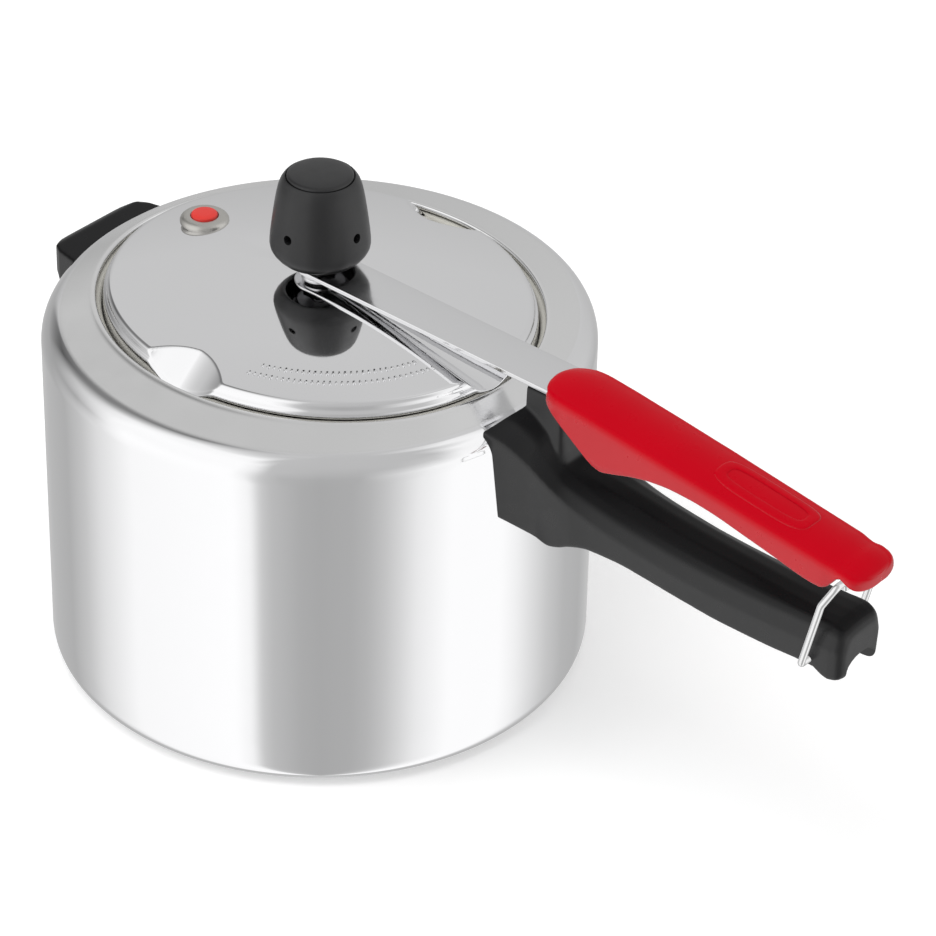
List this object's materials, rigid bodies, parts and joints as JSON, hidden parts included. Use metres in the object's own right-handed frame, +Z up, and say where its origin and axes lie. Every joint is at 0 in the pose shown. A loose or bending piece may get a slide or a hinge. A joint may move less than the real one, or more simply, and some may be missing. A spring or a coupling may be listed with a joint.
{
  "type": "pressure cooker",
  "caption": "Stovetop aluminium pressure cooker with an inner oval lid on a lever strip, long paired handles, a wire loop latch, a regulating weight and a safety plug.",
  "frame": {"origin": "centre of the pot's flat bottom, on the surface it stands on", "axes": "+X out along the long handles, +Z up along the pot's axis, +Y across"},
  "size_m": [0.3698, 0.204, 0.1996],
  "materials": {
    "polished_aluminium": "polished",
    "satin_aluminium": "satin",
    "polished_steel": "polished",
    "plain_steel": "brushed",
    "black_phenolic": "satin",
    "red_phenolic": "satin gloss",
    "grey_rubber": "matt",
    "red_rubber": "matt"
  },
  "bodies": {
    "pot": {"pot_body": "polished_aluminium", "handle_bracket": "plain_steel", "bracket_rivet_left": "satin_aluminium", "bracket_rivet_right": "satin_aluminium", "lower_handle": "black_phenolic", "lower_handle_screw": "plain_steel", "helper_bracket": "plain_steel", "helper_rivet_left": "satin_aluminium", "helper_rivet_right": "satin_aluminium", "helper_handle": "black_phenolic", "helper_screw": "plain_steel"},
    "wire": {"wire_loop": "polished_steel"},
    "lever": {"lid_bar": "polished_steel", "upper_handle": "red_phenolic", "handle_screw_inner": "plain_steel", "handle_screw_outer": "plain_steel"},
    "cover": {"lid": "polished_aluminium", "lid_gasket": "grey_rubber", "vent_pipe": "plain_steel", "vent_collar": "plain_steel", "vent_nut": "plain_steel", "vent_back_nut": "plain_steel", "valve_seat": "satin_aluminium", "valve_nut": "plain_steel"},
    "plug": {"safety_plug": "red_rubber"},
    "weight": {"weight_core": "plain_steel", "weight_cover": "black_phenolic", "weight_cap": "black_phenolic"}
  },
  "joints": [
    {"name": "lever_tilt", "type": "hinge", "parent": "pot", "child": "lever", "pos_m": [0.106, 0, 0.15833], "axis": [0, -1, 0], "range_deg": [0, 8]},
    {"name": "lid_level", "type": "hinge", "parent": "lever", "child": "cover", "pos_m": [0, 0, 0.1612], "axis": [0, -1, 0], "range_deg": [-8, 0]},
    {"name": "wire_swing", "type": "hinge", "parent": "pot", "child": "wire", "pos_m": [0.2325, 0, 0.1037], "axis": [0, 1, 0], "range_deg": [0, 165]},
    {"name": "weight_lift", "type": "slide", "parent": "cover", "child": "weight", "axis": [0, 0, 1], "range_m": [0, 0.03]},
    {"name": "plug_lift", "type": "slide", "parent": "cover", "child": "plug", "axis": [0, 0, 1], "range_m": [0, 0.004]}
  ],
  "couplings": [
    {"joint": "lid_level", "follows": "lever_tilt", "ratio": -1}
  ]
}
